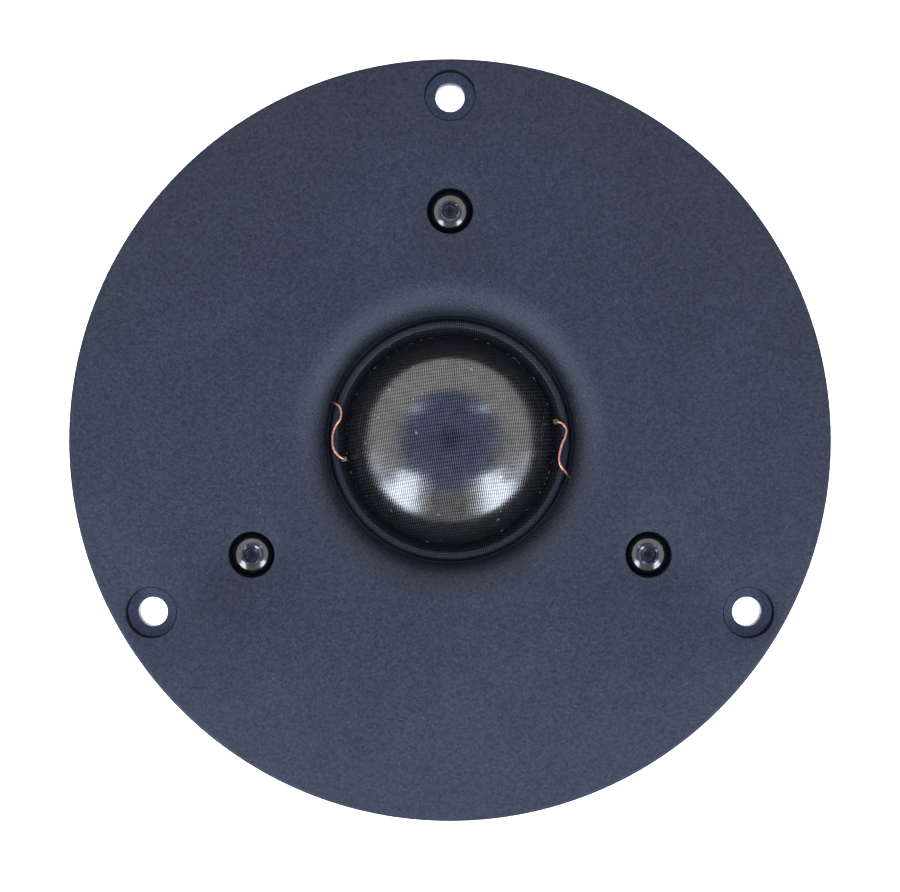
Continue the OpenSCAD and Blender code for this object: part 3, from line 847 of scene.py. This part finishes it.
def build_wire(name, turn, node, route):
    """A wire held by the plate up to its last held point, that bends from there to its glued end."""
    points = []
    for radius, angle, height in route:
        x, y = polar(radius, LEAD_ANGLE + turn + angle)
        points.append(Vector((x, y, height)))
    line = smooth_line(points, CURVE_STEPS)
    verts, faces = tube(line, WIRE_R, 16)
    wire = new_object(name, verts, faces, [COPPER], 60.0)
    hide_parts(node)
    start = points[HELD_POINTS] * MM
    end = points[-1] * MM
    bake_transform(wire, FIXED, MOVING, tuple(start), tuple(end))
    spread = wire.data.attributes["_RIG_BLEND"].data
    lengths = [0.0]
    for i in range(1, len(line)):
        lengths.append(lengths[-1] + (line[i] - line[i - 1]).length)
    first = lengths[HELD_POINTS * CURVE_STEPS]
    last = lengths[-1] - GLUED_LENGTH
    for vertex in wire.data.vertices:
        nearest = min(range(len(line)), key=lambda i: (line[i] - vertex.co / MM).length)
        t = min(max((lengths[nearest] - first) / (last - first), 0.0), 1.0)
        spread[vertex.index].value = t * t * (3 - 2 * t)


def build_glue_dots():
    """A small domed blob of glue where each wire meets the coil joint."""
    for index, side in enumerate((0.0, 180.0)):
        bm = bmesh.new()
        bmesh.ops.create_icosphere(bm, subdivisions=4, radius=1.0)
        x, y = polar(DOT_R, DOT_ANGLE + side)
        a = math.radians(DOT_ANGLE + side)
        for v in bm.verts:
            lump = 1 + 0.10 * math.sin(3.1 * v.co.x + 1.3) * math.cos(2.7 * v.co.y - 0.4 + index)
            radial = v.co.x * DOT_HALF[0] * lump
            along = v.co.y * DOT_HALF[1] * lump
            height = v.co.z * DOT_HALF[2] * lump
            v.co = Vector((x + radial * math.cos(a) - along * math.sin(a),
                           y + radial * math.sin(a) + along * math.cos(a), DOT_Z + height)) * MM
        mesh = bpy.data.meshes.new("visual_glue_dot_%d" % (index + 1))
        bm.to_mesh(mesh)
        bm.free()
        for face in mesh.polygons:
            face.use_smooth = True
        mesh.materials.append(GLUE)
        dot = bpy.data.objects.new(mesh.name, mesh)
        bpy.context.scene.collection.objects.link(dot)
        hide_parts("lead_glue_dots")
        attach(dot, MOVING)


build_wire("visual_wire_left", 0.0, "lead_wire_left", LEFT_ROUTE)
build_wire("visual_wire_right", 180.0, "lead_wire_right", RIGHT_ROUTE)
build_glue_dots()


# ---------- Motor and rear chamber ----------

MOTOR_SEGMENTS = 192

# Radii and heights of the rear cup, whose lip carries the gasket
CUP_R = 32.0
CUP_INNER_R = 30.0
CUP_LIP_R = 34.0
CUP_BACK = -50.0
CUP_FLOOR = -48.0
CUP_FRONT = -29.0
CUP_LIP_BACK = -31.0
CUP_CORNER = 4.0

# CAD nodes that get eased edges, and how wide
EASED_EDGE = 0.10
EASED = ("chassis_ring", "terminal_positive", "terminal_negative", "top_plate", "polarity_mark")


def turned_node(node, outline, radius, material):
    """A turned piece with small rounded edges in place of a CAD node."""
    verts, faces = lathe(round_corners(outline, radius), MOTOR_SEGMENTS)
    piece = new_object("visual_" + node, verts, faces, [material])
    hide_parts(node)
    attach(piece, FIXED)


def finish_node(node, material):
    """A CAD node that keeps its own shape and gets a material; the nodes listed in EASED also get their sharp
    edges eased.
    """
    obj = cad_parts[node]
    obj.data.materials.clear()
    obj.data.materials.append(material)
    if node in EASED:
        ease = obj.modifiers.new("eased_edges", "BEVEL")
        ease.width = EASED_EDGE * MM
        ease.segments = 2
        ease.limit_method = "ANGLE"
        ease.angle_limit = math.radians(40)


def build_motor():
    magnet = [(16, -23.5), (35.4, -23.5), (36, -22.9), (36, -9.1), (35.4, -8.5), (16, -8.5)]
    turned_node("magnet", magnet, 0.15, FERRITE)
    yoke = [(5, -28.5), (34, -28.5), (35, -27.5), (35, -24.0), (34.5, -23.5), (13.2, -23.5), (13.2, -3.5),
            (5, -3.5)]
    turned_node("yoke", yoke, 0.15, PLATED)
    gasket = [(30, -29.0), (34, -29.0), (34, -28.5), (30, -28.5)]
    turned_node("rear_gasket", gasket, 0.1, FOAM)


def build_rear_cup():
    outline = [(0.0, CUP_BACK), (CUP_R - CUP_CORNER, CUP_BACK)]
    for k in range(1, 13):
        a = math.pi / 2 * k / 12
        outline.append((CUP_R - CUP_CORNER + CUP_CORNER * math.sin(a),
                        CUP_BACK + CUP_CORNER - CUP_CORNER * math.cos(a)))
    outline += [(CUP_R, CUP_LIP_BACK - 0.10), (CUP_R + 0.05, CUP_LIP_BACK - 0.02),
                (CUP_R + 0.12, CUP_LIP_BACK), (CUP_LIP_R - 0.20, CUP_LIP_BACK),
                (CUP_LIP_R - 0.06, CUP_LIP_BACK + 0.06),
                (CUP_LIP_R, CUP_LIP_BACK + 0.20), (CUP_LIP_R, CUP_FRONT - 0.15),
                (CUP_LIP_R - 0.05, CUP_FRONT - 0.04), (CUP_LIP_R - 0.15, CUP_FRONT), (CUP_INNER_R, CUP_FRONT),
                (CUP_INNER_R, CUP_FLOOR), (0.0, CUP_FLOOR)]
    verts, faces = lathe(outline, MOTOR_SEGMENTS, closed=False)
    cup = new_object("visual_rear_cup", verts, faces, [CUP])
    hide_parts("rear_cup")
    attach(cup, FIXED)


build_motor()
build_rear_cup()
for node, material in (("faceplate_gasket", FOAM), ("coil_former", FILM), ("coil_winding", WINDING),
                       ("coil_risers", WINDING), ("lead_solder_joints", SOLDER), ("chassis_ring", MOULDED),
                       ("terminal_positive", BRASS), ("terminal_negative", BRASS), ("terminal_rivets", RIVET),
                       ("polarity_mark", RED), ("top_plate", PLATED), ("pole_cap", COPPER),
                       ("pole_felt", FELT), ("vent_felt", FELT), ("rear_felt", WOOL)):
    finish_node(node, material)


# ---------- Stage ----------

FLOOR_HALF = 12.0
LIGHT_DISTANCE = 0.55

# The camera hangs 330 mm above the face of the plate
CAMERA_PLACE = (0.0, -0.0008, 0.335)
CAMERA_VIEW = 21.05


def build_floor():
    mesh = bpy.data.meshes.new("floor")
    corners = ((-1, -1), (1, -1), (1, 1), (-1, 1))
    mesh.from_pydata([(x * FLOOR_HALF, y * FLOOR_HALF, FLOOR_Z) for x, y in corners], [], [(0, 1, 2, 3)])
    floor = bpy.data.objects.new("floor", mesh)
    bpy.context.scene.collection.objects.link(floor)
    n = Surface("pale_floor")
    n.set(Base_Color=(0.86, 0.87, 0.90, 1.0), Roughness=0.9, Emission_Color=(0.93, 0.95, 1.0, 1.0),
          Emission_Strength=0.45)
    mesh.materials.append(n.material)


def build_world():
    """Soft studio surroundings: bright walls, dimmer at the front, and a darker, bluer ceiling."""
    world = bpy.data.worlds.new("studio")
    bpy.context.scene.world = world
    world.use_nodes = True
    n = Nodes(world.node_tree, "Generated")
    split = n.add("ShaderNodeSeparateXYZ", {0: n.coords})
    x = split.outputs["X"]
    y = split.outputs["Y"]
    height = n.ramp(split.outputs["Z"], [(0.0, (0.40, 0.41, 0.43)), (0.14, (0.75, 0.75, 0.74)),
                                         (0.24, (1.0, 0.99, 0.96)), (0.66, (1.0, 0.99, 0.96)),
                                         (0.71, (0.24, 0.30, 0.53)), (0.984, (0.23, 0.29, 0.50)),
                                         (0.993, (0.02, 0.03, 0.12))])
    level = n.math("SQRT", n.math("MULTIPLY_ADD", x, x, n.math("MULTIPLY", y, y)))
    facing = n.math("DIVIDE", y, n.math("MAXIMUM", level, 0.001))
    low = n.range(facing, -0.96, -0.80, 0.45, 1.0)
    above = n.range(split.outputs["Z"], 0.64, 0.70, 0.0, 1.0)
    below = n.range(split.outputs["Z"], 0.10, 0.16, 1.0, 0.0)
    dim = n.math("MAXIMUM", low, n.math("MAXIMUM", above, below))
    background = n.tree.nodes["Background"]
    n.tree.links.new(height, background.inputs["Color"])
    n.tree.links.new(n.math("MULTIPLY", dim, 3.0), background.inputs["Strength"])


def area_light(name, direction, across, width, height, power):
    """Rectangular bluish softbox that faces the tweeter, its width laid along the direction across."""
    data = bpy.data.lights.new(name, "AREA")
    data.shape = "RECTANGLE"
    data.size = width
    data.size_y = height
    data.energy = power
    data.color = (0.75, 0.85, 1.0)
    light = bpy.data.objects.new(name, data)
    back = Vector(direction).normalized()
    side = (Vector(across) - back * Vector(across).dot(back)).normalized()
    up = back.cross(side)
    light.matrix_world = Matrix((side, up, back)).transposed().to_4x4()
    light.location = back * LIGHT_DISTANCE
    bpy.context.scene.collection.objects.link(light)


def build_lights():
    """On each side a tall softbox low at the front with a wing and a dim strip, and a small high lamp."""
    for side, name in ((-1.0, "left"), (1.0, "right")):
        across = (-0.774 * side, -0.481, 0.412)
        along = (0.31, 0.95 * side, 0.0)
        area_light("softbox_" + name, (0.58 * side, -0.68, 0.45), across, 0.18, 0.36, 3.4)
        area_light("wing_" + name, (0.74 * side, -0.61, 0.28), across, 0.12, 0.14, 0.65)
        area_light("strip_" + name, (0.91 * side, -0.30, 0.28), along, 0.18, 0.07, 0.22)
        area_light("lamp_" + name, (0.49 * side, 0.46, 0.74), (1.0, 0.0, 0.0), 0.075, 0.075, 0.13)


def build_camera():
    data = bpy.data.cameras.new("camera")
    data.sensor_width = 36.0
    data.sensor_fit = "HORIZONTAL"
    data.angle = math.radians(CAMERA_VIEW)
    data.clip_start = 0.01
    data.clip_end = 20.0
    camera = bpy.data.objects.new("camera", data)
    camera.location = CAMERA_PLACE
    bpy.context.scene.collection.objects.link(camera)
    bpy.context.scene.camera = camera


build_floor()
build_world()
build_lights()
build_camera()
bpy.context.scene.view_settings.view_transform = "Standard"

bpy.context.view_layer.update()
